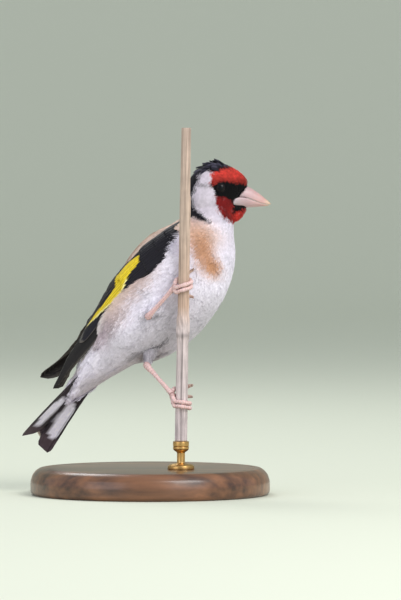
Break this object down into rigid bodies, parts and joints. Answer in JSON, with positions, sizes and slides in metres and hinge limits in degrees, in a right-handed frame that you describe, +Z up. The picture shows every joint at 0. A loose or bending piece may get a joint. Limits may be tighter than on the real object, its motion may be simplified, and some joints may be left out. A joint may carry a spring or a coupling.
{
  "type": "european goldfinch, still display model",
  "caption": "Life-size European goldfinch clinging to a cut length of reed, on a plain round display stand.",
  "frame": {"origin": "middle of the underside of the stand's base", "axes": "+Z up, +X the way the bird looks, -Y the side that the bird's right wing and the reed are on"},
  "size_m": [0.0927, 0.09, 0.1376],
  "materials": {
    "pale_plumage": "soft overlapping body feathers, whitish with buff",
    "head_plumage": "fine short feathers, red face, black cap, white cheek",
    "flight_plumage": "smooth black flight feathers with a yellow band and white marks",
    "eye": "wet dark gloss",
    "bill_horn": "pinkish white horn, satin",
    "leg_skin": "flesh pink scaled skin",
    "claw_horn": "pale brown horn",
    "reed": "dry fibrous reed",
    "stand_wood": "turned dark wood, satin",
    "stand_brass": "satin brass"
  },
  "bodies": {
    "root": {"torso": "pale_plumage", "neck": "pale_plumage", "head": "head_plumage", "eye_right": "eye", "eye_left": "eye", "bill_upper": "bill_horn", "bill_lower": "bill_horn", "wing_right": "flight_plumage", "wing_left": "flight_plumage", "tail": "flight_plumage", "thigh_right": "pale_plumage", "thigh_left": "pale_plumage", "tarsus_right": "leg_skin", "tarsus_left": "leg_skin", "foot_right": "leg_skin", "foot_left": "leg_skin", "claw_inner_right": "claw_horn", "claw_middle_right": "claw_horn", "claw_outer_right": "claw_horn", "claw_hind_right": "claw_horn", "claw_inner_left": "claw_horn", "claw_middle_left": "claw_horn", "claw_outer_left": "claw_horn", "claw_hind_left": "claw_horn", "perch_reed": "reed", "stand_rod": "stand_brass", "stand_base": "stand_wood"}
  },
  "joints": []
}
